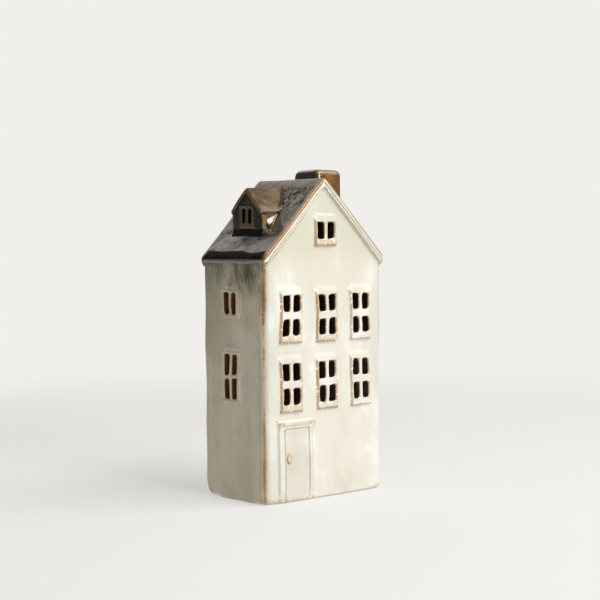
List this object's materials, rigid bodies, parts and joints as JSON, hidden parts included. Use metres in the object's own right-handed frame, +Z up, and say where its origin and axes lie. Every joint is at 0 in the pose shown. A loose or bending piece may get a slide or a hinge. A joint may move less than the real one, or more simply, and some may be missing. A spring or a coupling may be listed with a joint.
{
  "type": "tealight house",
  "caption": "Ceramic tealight holder shaped as a tall gabled town house with cut-out windows, a dormer, a chimney flue and an arched opening at the back.",
  "frame": {"origin": "middle of the underside, which stands on the table", "axes": "-Y out of the front wall with the door, +Y out of the back wall with the candle opening, +Z up"},
  "size_m": [0.095, 0.0588, 0.192],
  "materials": {
    "cream_glaze": "glossy cream reactive glaze, white where thick, tan where it breaks over edges",
    "inner_glaze": "thin brown glaze inside the house",
    "roof_glaze": "glossy near-black brown mottled glaze",
    "olive_glaze": "glossy olive to amber glaze",
    "cup_metal": "thin pressed aluminium",
    "wick_base_metal": "tinned steel",
    "wax": "smooth white paraffin wax",
    "wick_cotton": "waxed cotton cord"
  },
  "bodies": {
    "house": {"front_wall": "cream_glaze", "back_wall": "cream_glaze", "left_wall": "cream_glaze", "right_wall": "cream_glaze", "floor": "inner_glaze", "roof_left": "roof_glaze", "roof_right": "roof_glaze", "gable_band_front": "cream_glaze", "gable_band_back": "cream_glaze", "chimney": "olive_glaze", "dormer_front": "olive_glaze", "dormer_cheek_front": "olive_glaze", "dormer_cheek_back": "olive_glaze", "dormer_roof": "olive_glaze", "dormer_frame": "olive_glaze", "door_surround": "cream_glaze", "door_leaf": "cream_glaze", "door_knob": "cream_glaze", "window_lower_left": "cream_glaze", "window_lower_middle": "cream_glaze", "window_lower_right": "cream_glaze", "window_upper_left": "cream_glaze", "window_upper_middle": "cream_glaze", "window_upper_right": "cream_glaze", "window_attic": "cream_glaze", "window_left_side_lower": "cream_glaze", "window_left_side_upper": "cream_glaze", "window_right_side_lower": "cream_glaze", "window_right_side_upper": "cream_glaze"},
    "tealight": {"candle_cup": "cup_metal", "wax": "wax", "wick_base": "wick_base_metal", "wick": "wick_cotton"}
  },
  "joints": [
    {"name": "tealight_slide", "type": "slide", "parent": "house", "child": "tealight", "axis": [0, 1, 0], "range_m": [0, 0.06]}
  ]
}
